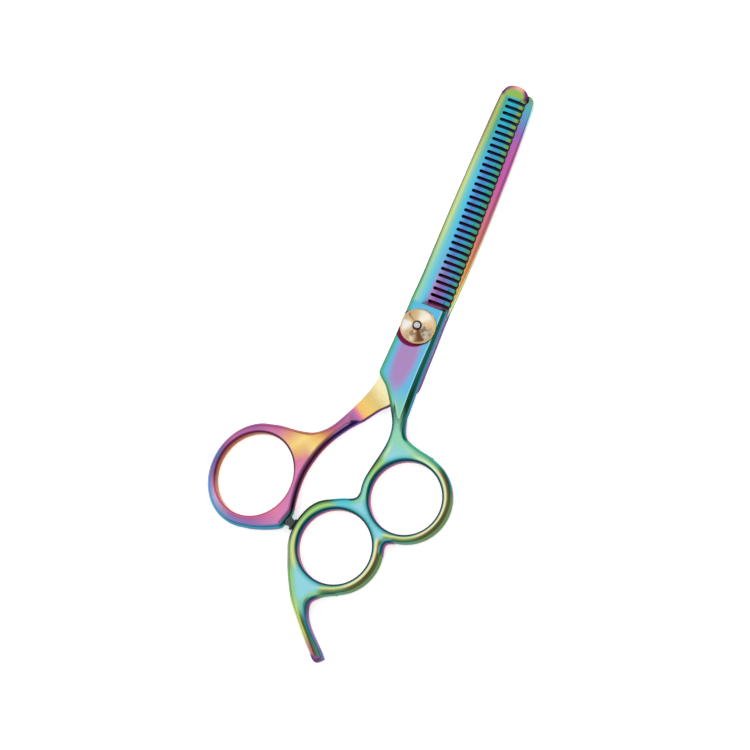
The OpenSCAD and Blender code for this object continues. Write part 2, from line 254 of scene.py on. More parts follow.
def forge(name, outer, holes, heights, round_w, lines, grid=0.9):
    """A solid with the given plan. heights(x, y, d_outer, d_hole) gives its top and bottom.
    Rows of points follow the rounding of the edges, which is round_w(x, y) wide at the outline and
    HOLE_RIM wide at the holes. Points also lie on the given lines, where the height has a kink."""
    loops = [outer] + holes
    pts = list(loops)
    edges, start = [], 0
    for loop in loops:
        n = len(loop)
        edges += [(start + i, start + (i + 1) % n) for i in range(n)]
        start += n
    spread = 1 - np.cos(np.linspace(0, math.pi / 2, ROWS + 1))[1:]
    for li, loop in enumerate(loops):
        tangent = np.roll(loop, -1, 0) - np.roll(loop, 1, 0)
        tangent /= np.linalg.norm(tangent, axis=1)[:, None]
        inward = np.stack([-tangent[:, 1], tangent[:, 0]], 1)
        area = 0.5 * (loop[:, 0] * np.roll(loop[:, 1], -1) - np.roll(loop[:, 0], -1) * loop[:, 1]).sum()
        if (area < 0) == (li == 0):
            inward = -inward
        width = round_w(loop[:, 0], loop[:, 1]) if li == 0 else np.full(len(loop), HOLE_RIM)
        for f in spread:
            row = loop + inward * (width * f)[:, None]
            # a row stops where another stretch of edge comes closer than its own
            clear = np.min([distance(row, other) for other in loops], 0)
            good = (clear > width * f * 0.93 - 0.003) & inside(row, loops)
            index = np.full(len(row), -1)
            index[good] = start + np.arange(good.sum())
            pts.append(row[good])
            start += int(good.sum())
            for i in range(len(row)):
                j = (i + 1) % len(row)
                if good[i] and good[j]:
                    edges.append((index[i], index[j]))
    lo, hi = outer.min(0), outer.max(0)
    gx, gy = np.meshgrid(np.arange(lo[0], hi[0], grid), np.arange(lo[1], hi[1], grid * 0.87))
    gx = gx + (np.arange(len(gx)) % 2)[:, None] * grid / 2      # every other row is shifted
    g = np.stack([gx.ravel(), gy.ravel()], 1)
    g = g[inside(g, loops)]
    d = distance(g, outer)
    keep = d > round_w(g[:, 0], g[:, 1]) + grid * 0.3
    for hole in holes:
        keep &= distance(g, hole) > HOLE_RIM + grid * 0.3
    for line in lines:
        keep &= distance(g, np.array(line)) > LINE_GAP
    g = g[keep]
    pts.append(g)
    start += len(g)
    for line in lines:
        line = np.array(line)
        good = inside(line, loops) & (np.min([distance(line, o) for o in loops], 0) > EDGE_GAP)
        index = np.full(len(line), -1)
        index[good] = start + np.arange(good.sum())
        pts.append(line[good])
        start += int(good.sum())
        edges += [(index[i], index[i + 1]) for i in range(len(line) - 1) if good[i] and good[i + 1]]
    allp = np.concatenate(pts)
    verts, _, tris, _, _, _ = delaunay_2d_cdt([Vector(p) for p in allp], edges, [], 0, 1e-4)
    v = np.array([(p.x, p.y) for p in verts])
    t = np.array([list(f) for f in tris if len(f) == 3])
    t = t[inside(v[t].mean(1), loops)]
    area = np.cross(v[t[:, 1]] - v[t[:, 0]], v[t[:, 2]] - v[t[:, 0]])
    t[area < 0] = t[area < 0][:, ::-1]
    used, t = np.unique(t, return_inverse=True)
    t = t.reshape(-1, 3)
    v = v[used]
    d_out = distance(v, outer)
    d_hole = np.min([distance(v, h) for h in holes], 0)
    top, bottom = heights(v[:, 0], v[:, 1], d_out, d_hole)
    bottom = np.minimum(bottom, top - THINNEST)
    n = len(v)
    v = v + np.array(LAY)
    co = np.concatenate([np.column_stack([v, top]), np.column_stack([v, bottom])]) * MM
    seen = {}
    for a, b, c in t.tolist():
        for e in ((a, b), (b, c), (c, a)):
            key = (min(e), max(e))
            seen[key] = None if key in seen else e
    walls = [e for e in seen.values() if e is not None]
    faces = t.tolist() + [(c + n, b + n, a + n) for a, b, c in t.tolist()]
    faces += [(b, a, a + n, b + n) for a, b in walls]
    mesh = bpy.data.meshes.new(name)
    mesh.from_pydata(co.tolist(), [], faces)
    mesh.validate()
    for key, values in (("outer", d_out), ("bore", np.minimum(d_hole, FAR))):
        layer = mesh.attributes.new(key, "FLOAT", "POINT")
        layer.data.foreach_set("value", np.concatenate([values, values]).astype(np.float32))
    mesh.shade_smooth()
    mesh.set_sharp_from_angle(angle=math.radians(SHARP_ANGLE))
    ob = bpy.data.objects.new(name, mesh)
    bpy.context.scene.collection.objects.link(ob)
    return ob


# ------------------------------ the toothed half
def comb_round(x, y):
    """How wide the rounding of the edge is."""
    left = lerp(y, [-34, -30, -24, -16, 5, 6.5, 70, 71], [1.75, 1.7, 1.1, 0.55, 0.45, 0.12, 0.12, 0.5])
    right = lerp(y, [-36, -31, -24, -16, 5, 6.5, 70.6, 71.4], [1.75, 1.6, 1.3, 0.8, 0.65, 0.1, 0.1, 0.5])
    return left + (right - left) * soft(x, -1, 2)


def comb_heights(x, y, d_out, d_hole):
    """The top and the bottom, with their rounded edges, at distances d from the edges."""
    body = lerp(y, [-34, -30, -25, -18], [HANDLE_H, 5.05, 5.6, BLOCK_TOP])
    blade_top = lerp(y, [7.5, 74], [SHOULDER, 4.3])
    # the block steps down to the teeth, and runs down gently along the spine
    toward_teeth = soft(x, -2.4, 0.6)
    down = toward_teeth * lerp(y, [6.2, 7.5], [0, 1]) + (1 - toward_teeth) * soft(y, 1, 17)
    top = body + (blade_top - body) * down
    bottom = lerp(y, [-30, -28.5, -27, -25.4], [0, 0.25, 1.4, MATE_HIGH])
    r = comb_round(x, y)
    handle = soft(-y, 22, 33)
    h_top = np.minimum(r * (1.15 - 0.25 * handle), 1.6)
    h_bottom = 0.08 + 1.5 * handle
    hollow = 0.12 * np.clip(1 - ((x - 1.0) / 3.3) ** 2, 0, 1) * soft(y, 9, 11)
    blade = soft(y, 6.0, 8.5)
    u = np.maximum(bevel_line(y) - x, 0)
    top = top - soft(y, 2, 14) * (0.2 * u * u + (0.3 * u - 0.2 * u * u) * soft(y, 30, 70))
    top = top - blade * np.maximum(x - tooth_line(y), 0) * 0.52 * soft(74 - y, 2.5, 3.5)
    top = top - drop(d_out, r, h_top) - drop(d_hole, HOLE_RIM, HOLE_RIM)
    bottom = bottom + hollow + drop(d_out, r, h_bottom) + drop(d_hole, HOLE_RIM, HOLE_RIM)
    return top, bottom


along = np.arange(7.5, 72.0, 0.6)
comb = forge(
    "comb_half_body", even(comb_outline()),
    [even(arc(*RING1, 360, 0, 181)), even(arc(*RING2, 360, 0, 181))],
    comb_heights, comb_round,
    [[(bevel_line(y), y) for y in along],
     [(tooth_line(y), y) for y in along if y < 71],
     [(x, 6.2) for x in np.arange(-4.2, 6.4, 0.4)],
     [(x, 7.5) for x in np.arange(-2.9, 6.4, 0.4)],
     [(x, -18) for x in np.arange(-2.6, 6.4, 0.4)]])


# ------------------------------ the plain half
# The gold flat ends at STEP_AT, where the shank, running along STEP_DIR, rises to its full height.
STEP_AT = (-6.5, -29.2)
STEP_DIR = (-0.53, -0.85)


def past_step(x, y):
    """How far a point lies beyond the start of the step, along the shank."""
    return (x - STEP_AT[0]) * STEP_DIR[0] + (y - STEP_AT[1]) * STEP_DIR[1]


def step_line(s):
    """A line across the shank, s past the start of the step."""
    return [(STEP_AT[0] + s * STEP_DIR[0] - t * STEP_DIR[1], STEP_AT[1] + s * STEP_DIR[1] + t * STEP_DIR[0])
            for t in np.arange(-4.2, 4.3, 0.35)]


def plain_round(x, y):
    base = lerp(y, [5, 7], [0.2, 0.12])
    return base + (1.8 - base) * soft(past_step(x, y), -0.3, 4.0)


def plain_heights(x, y, d_out, d_hole):
    up = soft(past_step(x, y), -0.4, 4.2)
    handle = soft(past_step(x, y), 0.0, 4.5)
    top = MATE_LOW + up * (HANDLE_H - MATE_LOW)
    outer = lerp(y, [5.5, 7.0, 73], [0.0, 0.85, MATE_LOW - 1.2])
    slope = np.maximum(0, 2.6 - np.maximum(x + 2.9 - 0.02 * (y - 10), 0) * 0.42)
    bottom = np.maximum(outer, np.where(y > 6.5, slope, 0) * soft(y, 6.5, 9))
    r = plain_round(x, y)
    h_top = 0.12 + handle * 1.5
    h_bottom = 0.3 * soft(-y, -8, -5) + handle * 1.5
    hollow = 0.12 * np.clip(1 - ((x - 2.0) / 3.3) ** 2, 0, 1) * soft(y, 9, 11)
    side = soft(y, 6, 9) * np.maximum(x - 6.45 + 0.014 * np.maximum(y - 50, 0), 0) * 0.9
    top = top - hollow - side - drop(d_out, r, h_top) - drop(d_hole, HOLE_RIM, HOLE_RIM)
    bottom = bottom + drop(d_out, r, h_bottom) + drop(d_hole, HOLE_RIM, HOLE_RIM)
    return top, bottom


plain = forge(
    "plain_half_body", even(plain_outline()),
    [even(oval(*THUMB, *THUMB_BORE, THUMB_TURN, 360, 0, 181))],
    plain_heights, plain_round,
    [[(6.45 - 0.014 * max(y - 50, 0), y) for y in np.arange(8.0, 69.0, 0.7)],
     [(x, 5.5) for x in np.arange(-4.0, 6.5, 0.5)],
     [(x, 7.0) for x in np.arange(-3.6, 6.6, 0.5)]]
    + [step_line(s) for s in np.arange(-0.5, 4.8, 0.35)],
    grid=0.7)


# ------------------------------ shader building blocks
BUMP_HEIGHT = 0.00005    # in metres
TIP_LINE = [(7.0, 6.45), (24, 5.95), (45, 5.15), (60, 4.55), (71, 4.2)]    # y and x of the tooth tips
HANDLE_COS, HANDLE_SIN = 0.924, 0.383    # the handles are painted on axes turned by 22.5 degrees


class Paint:
    """A material whose colour is worked out by nodes. Every method returns a socket."""

    def __init__(self, name):
        self.mat = bpy.data.materials.new(name)
        self.mat.use_nodes = True
        self.nt = self.mat.node_tree
        self.out = self.nt.nodes["Principled BSDF"]
        self.xyz = None

    def node(self, kind, **values):
        n = self.nt.nodes.new(kind)
        for k, v in values.items():
            setattr(n, k, v)
        return n

    def put(self, socket, value):
        if isinstance(value, bpy.types.NodeSocket):
            self.nt.links.new(value, socket)
        else:
            socket.default_value = value

    def parts(self, vector):
        n = self.node("ShaderNodeSeparateXYZ")
        self.put(n.inputs[0], vector)
        return n.outputs

    def place(self, datum=(0, 0)):
        """The point in millimetres from the datum, as x, y and z sockets."""
        if self.xyz is None:
            co = self.node("ShaderNodeTexCoord").outputs["Object"]
            big = self.node("ShaderNodeVectorMath", operation="MULTIPLY_ADD")
            for s, v in zip(big.inputs, (co, (1 / MM,) * 3, (-datum[0], -datum[1], 0))):
                self.put(s, v)
            self.point = big.outputs[0]
            self.xyz = self.parts(self.point)
        return self.xyz

    def normal(self):
        return self.parts(self.node("ShaderNodeTexCoord").outputs["Normal"])

    def attribute(self, name):
        return self.node("ShaderNodeAttribute", attribute_name=name).outputs["Fac"]

    def math(self, op, a, b=0.0, c=0.0):
        n = self.node("ShaderNodeMath", operation=op)
        for s, v in zip(n.inputs, (a, b, c)):
            self.put(s, v)
        return n.outputs[0]

    def times(self, a, b):
        return self.math("MULTIPLY", a, b)

    def over(self, a, b):
        return self.math("DIVIDE", a, b)

    def plus(self, a, b):
        return self.math("ADD", a, b)

    def minus(self, a, b):
        return self.math("SUBTRACT", a, b)

    def larger(self, a, b):
        return self.math("MAXIMUM", a, b)

    def length(self, a, b):
        """The length of the plan vector (a, b)."""
        return self.math("SQRT", self.plus(self.times(a, a), self.times(b, b)))

    def fade(self, value, lo, hi):
        """A smooth change from 0 at lo to 1 at hi, where lo may be the larger of the two."""
        return self.scaled(value, lo, hi, "SMOOTHSTEP")

    def table(self, value, points):
        """A number read from a table of (value, result) pairs, joined by straight lines."""
        lo, hi = points[0][0], points[-1][0]
        small = min(r for _, r in points)
        span = max(max(r for _, r in points) - small, 1e-6)
        stops = [((v - lo) / (hi - lo), ((r - small) / span,) * 3) for v, r in points]
        f = self.levels(self.scaled(value, lo, hi), stops)
        return self.math("MULTIPLY_ADD", f, span, small)

    def scaled(self, value, lo, hi, how="LINEAR"):
        """The value with lo turned into 0 and hi into 1, and nothing below or above them."""
        n = self.node("ShaderNodeMapRange", interpolation_type=how)
        self.put(n.inputs["Value"], value)
        n.inputs["From Min"].default_value = lo
        n.inputs["From Max"].default_value = hi
        return n.outputs["Result"]

    def levels(self, value, stops, how="LINEAR"):
        """Light values read from (place, (red, green, blue)) pairs, with places from 0 to 1."""
        n = self.node("ShaderNodeValToRGB")
        n.color_ramp.interpolation = how
        self.put(n.inputs["Fac"], value)
        e = n.color_ramp.elements
        while len(e) < len(stops):
            e.new(0.5)
        for k, (at, _) in enumerate(stops):
            e[k].position = at
        for k, (_, colour) in enumerate(stops):
            e[k].color = (*colour, 1.0)
        return n.outputs["Color"]

    def ramp(self, value, rows, how="LINEAR"):
        """A colour read from rows of a place from 0 to 1 and the red, green and blue on screen."""
        return self.levels(value, [(at, rgb(*colour)) for at, *colour in rows], how)

    def along(self, value, rows, how="LINEAR"):
        """The same, with the places given in the value's own units."""
        lo, hi = rows[0][0], rows[-1][0]
        return self.ramp(self.scaled(value, lo, hi), [((v - lo) / (hi - lo), *c) for v, *c in rows], how)

    def mix(self, fac, a, b):
        """Colour a where fac is 0, colour b where it is 1."""
        n = self.node("ShaderNodeMix", data_type="RGBA", blend_type="MIX")
        self.put(n.inputs["Factor"], fac)
        for s, v in ((n.inputs[6], a), (n.inputs[7], b)):
            self.put(s, (*v, 1.0) if isinstance(v, tuple) else v)
        return n.outputs[2]

    def noise(self, scale, detail, stretch=None):
        """A cloudy pattern, squeezed by stretch = (x, y, turn) into a grain."""
        self.place()
        n = self.node("ShaderNodeTexNoise")
        n.inputs["Scale"].default_value = scale
        n.inputs["Detail"].default_value = detail
        src = self.point
        if stretch:
            m = self.node("ShaderNodeMapping")
            m.inputs["Rotation"].default_value = (0, 0, math.radians(stretch[2]))
            m.inputs["Scale"].default_value = (stretch[0], stretch[1], 1)
            self.put(m.inputs[0], src)
            src = m.outputs[0]
        self.put(n.inputs["Vector"], src)
        return n.outputs["Fac"]

    def finish(self, colour, metallic, rough, bump=None, strength=0.0, **extra):
        self.put(self.out.inputs["Base Color"], (*colour, 1.0) if isinstance(colour, tuple) else colour)
        self.put(self.out.inputs["Metallic"], metallic)
        self.put(self.out.inputs["Roughness"], rough)
        for k, v in extra.items():
            self.put(self.out.inputs[k.replace("_", " ")], v)
        if bump is not None:
            b = self.node("ShaderNodeBump")
            b.inputs["Strength"].default_value = strength
            b.inputs["Distance"].default_value = BUMP_HEIGHT
            self.put(b.inputs["Height"], bump)
            self.put(self.out.inputs["Normal"], b.outputs[0])
        return self.mat


def rgb(r, g, b):
    """A colour given as it looks on screen, turned into light values."""
    return tuple((c / 255 / 12.92) if c / 255 <= 0.04045 else ((c / 255 + 0.055) / 1.055) ** 2.4
                 for c in (r, g, b))


CYAN = (120, 205, 220)
SKY = (90, 190, 235)
BLUE = (85, 130, 205)
TEAL = (60, 165, 175)
MINT = (150, 210, 190)
GREEN = (85, 160, 100)
LIME = (190, 210, 120)
GOLD = (250, 210, 120)
CORAL = (220, 125, 125)
MAGENTA = (195, 90, 165)
PURPLE = (140, 70, 150)
LILAC = (180, 140, 195)


# ------------------------------ what both coatings share
def coating(name):
    """A paint with the places, slopes and distances that both coatings are worked out from."""
    p = Paint(name)
    p.x, p.y, p.z = p.place(LAY)
    p.nx, p.ny, p.nz = p.normal()
    p.outer, p.bore = p.attribute("outer"), p.attribute("bore")
    p.width = p.plus(p.outer, p.bore)
    p.t = p.over(p.bore, p.plus(p.width, 0.001))
    # how far a sloping surface faces across the rings and along them, each from -1 to 1
    size = p.plus(p.length(p.nx, p.ny), 0.001)
    across = p.math("MULTIPLY_ADD", p.nx, HANDLE_COS, p.times(p.ny, -HANDLE_SIN))
    forward = p.math("MULTIPLY_ADD", p.nx, HANDLE_SIN, p.times(p.ny, HANDLE_COS))
    p.across, p.forward = p.over(across, size), p.over(forward, size)
    return p


def turn_angle(p, dx, dy):
    """The direction of (dx, dy) in degrees, from the side the finger rings face (0) round to
    the blades (90) and back."""
    side = p.math("MULTIPLY_ADD", dx, HANDLE_COS, p.times(dy, HANDLE_SIN))
    ahead = p.math("MULTIPLY_ADD", dx, -HANDLE_SIN, p.times(dy, HANDLE_COS))
    return p.times(p.math("ARCTAN2", ahead, side), 180 / math.pi)


def near(p, x, y, cx, cy, r):
    """1 close to a point of the plan, falling to 0 at distance r."""
    return p.fade(p.length(p.minus(x, cx), p.minus(y, cy)), r, r * 0.45)


def hole_coat(p, handle, far_rows, near_rows, lo, hi):
    """The handle with its holes coloured by height, on the far side and on the near side."""
    far, close = p.along(p.z, far_rows, "EASE"), p.along(p.z, near_rows, "EASE")
    inner = p.times(p.fade(p.bore, 0.84, 0.74), p.fade(p.nz, 0.998, 0.96))
    return p.mix(inner, handle, p.mix(p.fade(p.minus(p.across, p.forward), lo, hi), close, far))


def polished(p, colour, rough):
    """Mirror-bright coated metal with a faint grain, paler where it is seen at a low angle."""
    grain = p.noise(1.2, 3.0, (1.0, 12.0, 0))
    edge = p.mix(0.5, colour, (1.0, 1.0, 1.0))
    return p.finish(colour, 1.0, p.math("MULTIPLY_ADD", grain, 0.08, rough), grain, 0.04,
                    Specular_Tint=edge)


# ------------------------------ coating of the toothed half
def ring_coat(p):
    """The finger rings: the colour turns across the band, and with the side of the ring."""
    x, y, t, outer, bore = p.x, p.y, p.t, p.outer, p.bore
    d1, d2 = [p.length(p.minus(x, c[0]), p.minus(y, c[1])) for c in (RING1, RING2)]
    rear = p.math("GREATER_THAN", p.minus(d1, d2), 0.0)
    dx = p.minus(x, p.math("MULTIPLY_ADD", rear, RING2[0] - RING1[0], RING1[0]))
    dy = p.minus(y, p.math("MULTIPLY_ADD", rear, RING2[1] - RING1[1], RING1[1]))
    phi = turn_angle(p, dx, dy)
    away = p.math("ABSOLUTE", phi)
    # painted highlights and shade: each band has a pale highlight on its crest and darker slopes, and the
    # bands change with the side of the ring as the light falls on it
    east = p.ramp(t, [
        (0.0, 110, 85, 140), (0.12, 85, 110, 125), (0.22, 115, 160, 125), (0.30, 215, 225, 155),
        (0.37, 250, 245, 190), (0.46, 220, 210, 160), (0.56, 140, 130, 90), (0.67, 85, 80, 55),
        (0.82, 90, 115, 65), (1.0, 95, 125, 85)])
    north_east = p.ramp(t, [
        (0.0, 70, 60, 100), (0.1, 55, 85, 85), (0.2, 165, 205, 160), (0.32, 245, 250, 190),
        (0.46, 210, 225, 160), (0.62, 105, 160, 100), (0.78, 65, 155, 130), (0.9, 80, 145, 165),
        (1.0, 110, 120, 175)])
    north = p.ramp(t, [
        (0.0, 15, 60, 70), (0.12, 35, 95, 85), (0.26, 135, 180, 120), (0.42, 180, 220, 130),
        (0.62, 120, 175, 95), (0.85, 50, 100, 75), (1.0, 50, 70, 75)])
    west_front = p.ramp(t, [
        (0.0, 35, 75, 100), (0.13, 50, 135, 130), (0.3, 145, 210, 180), (0.5, 160, 220, 190),
        (0.72, 100, 200, 165), (0.88, 60, 130, 130), (1.0, 85, 90, 120)])
    west_rear = p.ramp(t, [
        (0.0, 35, 70, 110), (0.14, 80, 135, 115), (0.32, 195, 210, 135), (0.48, 220, 230, 145),
        (0.68, 160, 180, 120), (1.0, 110, 140, 120)])
    south = p.ramp(t, [
        (0.0, 135, 90, 140), (0.14, 80, 100, 120), (0.27, 135, 185, 135), (0.4, 220, 235, 155),
        (0.55, 150, 160, 105), (0.72, 75, 120, 80), (1.0, 80, 135, 115)])
    band = p.mix(p.fade(phi, 28, 46), east, north_east)
    band = p.mix(p.fade(phi, 66, 86), band, north)
    band = p.mix(p.fade(phi, -66, -84), band, south)
    band = p.mix(p.fade(away, 135, 168), band, p.mix(rear, west_front, west_rear))
    web_side = p.ramp(t, [
        (0.0, 30, 90, 115), (0.14, 60, 155, 170), (0.35, 105, 205, 215), (0.7, 85, 200, 210),
        (1.0, 60, 190, 205)])
    by_web = p.times(p.fade(phi, 14, 34), p.fade(phi, 100, 82))
    band = p.mix(p.times(rear, by_web), band, web_side)
    # wide places are flat and cyan, with painted shade and painted highlight on their rounded rims
    lean_in = p.along(bore, [
        (0.0, 30, 80, 105), (0.45, 40, 115, 130), (1.1, 110, 200, 210), (1.9, 150, 215, 225)])
    lean_out = p.along(outer, [
        (0.0, 60, 110, 80), (0.5, 125, 180, 105), (1.0, 170, 210, 135), (1.7, 140, 210, 175),
        (2.6, 150, 215, 225)])
    lean_neck = p.along(outer, [
        (0.0, 110, 70, 150), (0.35, 70, 110, 180), (0.8, 60, 150, 150), (1.3, 150, 205, 140),
        (1.8, 215, 235, 165), (2.5, 150, 215, 225)])
    by_neck = p.times(p.fade(phi, -10, 12), p.fade(phi, 128, 108))
    by_neck = p.times(by_neck, p.minus(1.0, rear))
    lean_out = p.mix(by_neck, lean_out, lean_neck)
    wide = p.mix(p.math("LESS_THAN", p.minus(bore, outer), 0.0), lean_out, lean_in)
    return p.mix(p.fade(p.width, 3.3, 4.9), band, wide)


def neck_coat(p, handle):
    """The handle with painted shade in its inner corners, and its neck, which has a green slope on one side
    and is dark green and purple on the other."""
    x, y, nz, across = p.x, p.y, p.nz, p.across
    # painted shade: the sloping faces in the inner corners turn dark navy and crimson
    corner = p.ramp(nz, [
        (0.0, 165, 90, 130), (0.3, 90, 50, 120), (0.55, 20, 60, 85), (0.8, 25, 115, 110),
        (0.95, 120, 200, 190), (1.0, *CYAN)])
    for cx, cy, reach in ((2.9, -52.3, 2.8), (15.3, -61.2, 3.6), (1.6, -84.0, 4.2)):
        close = p.times(near(p, x, y, cx, cy, reach), p.fade(nz, 0.99, 0.9))
        handle = p.mix(close, handle, corner)
    neck_flat = p.ramp(nz, [
        (0.0, 20, 70, 80), (0.4, 50, 140, 110), (0.75, 80, 185, 145), (0.93, 130, 210, 180),
        (1.0, 150, 215, 185)])
    neck_wall = p.along(p.z, [
        (0.4, 200, 120, 150), (1.0, *MAGENTA), (2.0, *PURPLE), (3.0, 60, 105, 170), (3.7, 30, 115, 125),
        (4.6, 25, 75, 55), (5.0, 60, 150, 120)], "EASE")
    neck = p.mix(p.times(p.fade(across, 0.0, 0.3), p.fade(nz, 0.97, 0.85)), neck_flat, neck_wall)
    handle = p.mix(p.fade(y, -37, -32), handle, neck)
    neck_side = p.times(p.fade(across, 0.0, 0.3), p.fade(nz, 0.9, 0.7))
    neck_side = p.times(neck_side, p.times(p.fade(p.outer, 0.8, 0.5), p.fade(y, -44, -38)))
    return p.mix(neck_side, handle, neck_wall)


def rest_coat(p, handle):
    """The handle with its finger rest: a lime slope, a dark crest and a teal slope, turning pink
    and purple at its end."""
    x, y = p.x, p.y
    left = p.table(y, [
        (-98.4, 8.2), (-93.9, 3.6), (-88.3, -1.5), (-84.9, -4.25), (-80.9, -6.6), (-76.9, -8.55)])
    right = p.table(y, [
        (-97.0, 11.4), (-94.9, 9.5), (-92.5, 7.0), (-90, 4.4), (-87.45, 2.5), (-85.2, 1.6), (-76.9, 1.0)])
    s = p.over(p.minus(x, left), p.minus(right, left))
    upper = p.ramp(s, [
        (0.0, 90, 140, 95), (0.14, 170, 205, 115), (0.34, 190, 220, 130), (0.5, 150, 210, 165),
        (0.72, 110, 195, 190), (0.86, 30, 95, 90), (1.0, 110, 60, 120)])
    middle = p.ramp(s, [
        (0.0, 120, 160, 110), (0.16, 200, 215, 130), (0.36, 215, 220, 135), (0.48, 120, 130, 70),
        (0.56, 55, 75, 55), (0.68, 50, 130, 110), (0.84, 60, 120, 165), (1.0, 150, 80, 140)])
    lower = p.ramp(s, [
        (0.0, 170, 130, 140), (0.15, 225, 175, 165), (0.35, 200, 140, 150), (0.5, 70, 55, 55),
        (0.62, 90, 110, 60), (0.8, 70, 140, 130), (1.0, 95, 90, 140)])
    rest = p.mix(p.fade(y, -85.5, -89.5), upper, middle)
    rest = p.mix(p.fade(y, -92.0, -95.5), rest, lower)
    rest = p.mix(p.fade(y, -96.5, -97.6), rest, p.along(p.z, [
        (2.0, 70, 55, 90), (4.3, 95, 60, 110), (5.0, 160, 95, 155)], "EASE"))
    return p.mix(p.fade(y, -82.5, -86.5), handle, rest)


def block_coat(p):
    """The pivot block: cyan with a soft purple oval, green along one edge and a painted pale highlight
    along the ridge of the other, and a painted shadow of the knob. It is followed by the same for its back."""
    x, y, nz, outer = p.x, p.y, p.nz, p.outer
    oval_d = p.length(p.over(p.minus(x, 0.7), 3.9), p.over(p.plus(y, 9.6), 12.5))
    block = p.mix(p.fade(oval_d, 1.12, 0.5), rgb(100, 190, 230), rgb(175, 140, 195))
    block = p.mix(p.fade(y, -17, -26), block, rgb(140, 210, 180))
    block = p.mix(p.times(p.fade(outer, 1.7, 0.4), p.fade(x, 2.0, 0.0)), block, rgb(75, 180, 140))
    rim = p.table(y, [(-26.0, 1.75), (-14.0, 1.45), (-4.0, 1.05), (6.0, 0.95)])
    from_rim = p.minus(outer, rim)
    right_side = p.fade(x, 2.0, 3.2)
    # painted highlight: a pale mint line along the ridge of the right-hand edge
    ridge = p.times(p.fade(from_rim, 0.45, 0.1), right_side)
    block = p.mix(p.times(ridge, 0.6), block, rgb(195, 235, 215))
    block_back = block
    leaning = p.larger(p.fade(nz, 0.985, 0.9), p.times(p.fade(from_rim, 0.05, -0.1), right_side))
    facet = p.mix(p.fade(y, -10, -22), rgb(30, 95, 90), rgb(25, 70, 50))
    block = p.mix(leaning, block, p.mix(p.larger(p.fade(p.nx, -0.1, 0.1), right_side), rgb(*GREEN), facet))
    block_wall = p.along(p.z, [
        (3.1, 125, 70, 70), (3.6, 140, 65, 145), (4.2, 65, 75, 180), (4.9, 30, 145, 165),
        (5.6, 25, 100, 100)], "EASE")
    block = p.mix(p.fade(nz, 0.6, 0.3), block, block_wall)
    # painted shadow and reflection of the knob: a dark crimson crescent on the block's top round the knob
    knob_d = p.length(p.plus(x, 0.15), p.plus(y, 1.05))
    shaded = p.times(p.fade(knob_d, 5.6, 5.2), p.fade(nz, 0.5, 0.8))
    return p.mix(shaded, block, rgb(120, 25, 70)), block_back


def blade_coat(p):
    """The toothed blade, with teeth from blue at the root to green at the tip, followed by the
    same for its back."""
    x, y, nz = p.x, p.y, p.nz
    root = p.math("MULTIPLY_ADD", y, -0.019, 0.3)
    tip = p.table(y, TIP_LINE)
    u = p.over(p.minus(x, root), p.minus(tip, root))
    teeth = p.ramp(u, [
        (0.0, *SKY), (0.3, *BLUE), (0.6, 45, 165, 190), (0.82, 70, 165, 140), (1.0, 90, 150, 70)])
    teeth_far = p.ramp(u, [
        (0.0, 70, 180, 190), (0.3, 50, 180, 215), (0.6, *TEAL), (0.85, 140, 180, 80), (1.0, 110, 120, 50)])
    teeth_near = p.ramp(u, [
        (0.0, *LILAC), (0.3, 150, 95, 175), (0.65, *BLUE), (0.85, *TEAL), (1.0, *GREEN)])
    teeth = p.mix(p.fade(y, 24, 9), teeth, teeth_near)
    teeth = p.mix(p.fade(y, 45, 66), teeth, teeth_far)
    # painted highlight: the sloping step below the first slot runs from blue through magenta to a pale pink
    # line
    shoulder = p.along(x, [
        (-2.6, 110, 120, 200), (-0.6, 150, 75, 165), (2.0, 215, 95, 165), (5.5, 240, 165, 180)], "EASE")
    teeth = p.mix(p.times(p.fade(nz, 0.95, 0.8), p.fade(y, 8.2, 7.6)), teeth, shoulder)
    # the rest of the blade, from the spine (0) to the roots of the teeth (1)
    spine = p.table(y, [(6.0, -4.5), (24, -4.5), (40, -4.4), (60, -4.05), (71, -3.6)])
    v = p.over(p.minus(x, spine), p.minus(root, spine))
    band_near = p.ramp(v, [
        (0.0, 60, 140, 95), (0.1, 95, 175, 125), (0.25, 165, 215, 180), (0.5, 125, 210, 220),
        (0.8, 100, 195, 230), (1.0, *LILAC)])
    band_mid = p.ramp(v, [
        (0.0, 90, 150, 90), (0.12, *LIME), (0.3, 210, 230, 165), (0.48, *MINT), (0.7, 100, 205, 215),
        (1.0, *SKY)])
    band_tip = p.ramp(v, [
        (0.0, 140, 100, 105), (0.12, 150, 150, 85), (0.32, 190, 205, 120), (0.55, 150, 190, 120),
        (0.8, 80, 170, 145), (1.0, 60, 165, 170)])
    bevel = p.mix(p.fade(y, 12, 34), band_near, band_mid)
    bevel = p.mix(p.fade(y, 44, 64), bevel, band_tip)
    blade = p.mix(p.fade(u, -0.12, 0.04), bevel, teeth)
    blade_back = blade
    # the rim round the tip: purple at its sides, with a painted pale pink highlight across its top
    tip_rim = p.along(x, [
        (-3.4, 80, 45, 85), (-2.4, 135, 65, 120), (-1.0, 205, 120, 150), (0.6, 245, 185, 170),
        (2.0, 235, 175, 160), (3.0, 150, 65, 130), (4.2, 90, 40, 85)])
    off_middle = p.math("ABSOLUTE", p.minus(x, 0.3))
    by_rim = p.larger(p.fade(y, 71.9, 72.6), p.fade(off_middle, 2.4, 3.0))
    by_rim = p.times(by_rim, p.fade(p.outer, 1.7, 0.5))
    tip_zone = p.mix(by_rim, rgb(150, 190, 90), tip_rim)
    blade = p.mix(p.fade(y, 70.3, 71.4), blade, tip_zone)
    # painted shade: the walls are dark green at the spine and near black in the slots between the teeth
    walls = p.mix(p.fade(v, 0.2, 0.5), rgb(50, 90, 60), rgb(25, 15, 20))
    return p.mix(p.fade(nz, 0.6, 0.25), blade, walls), blade_back


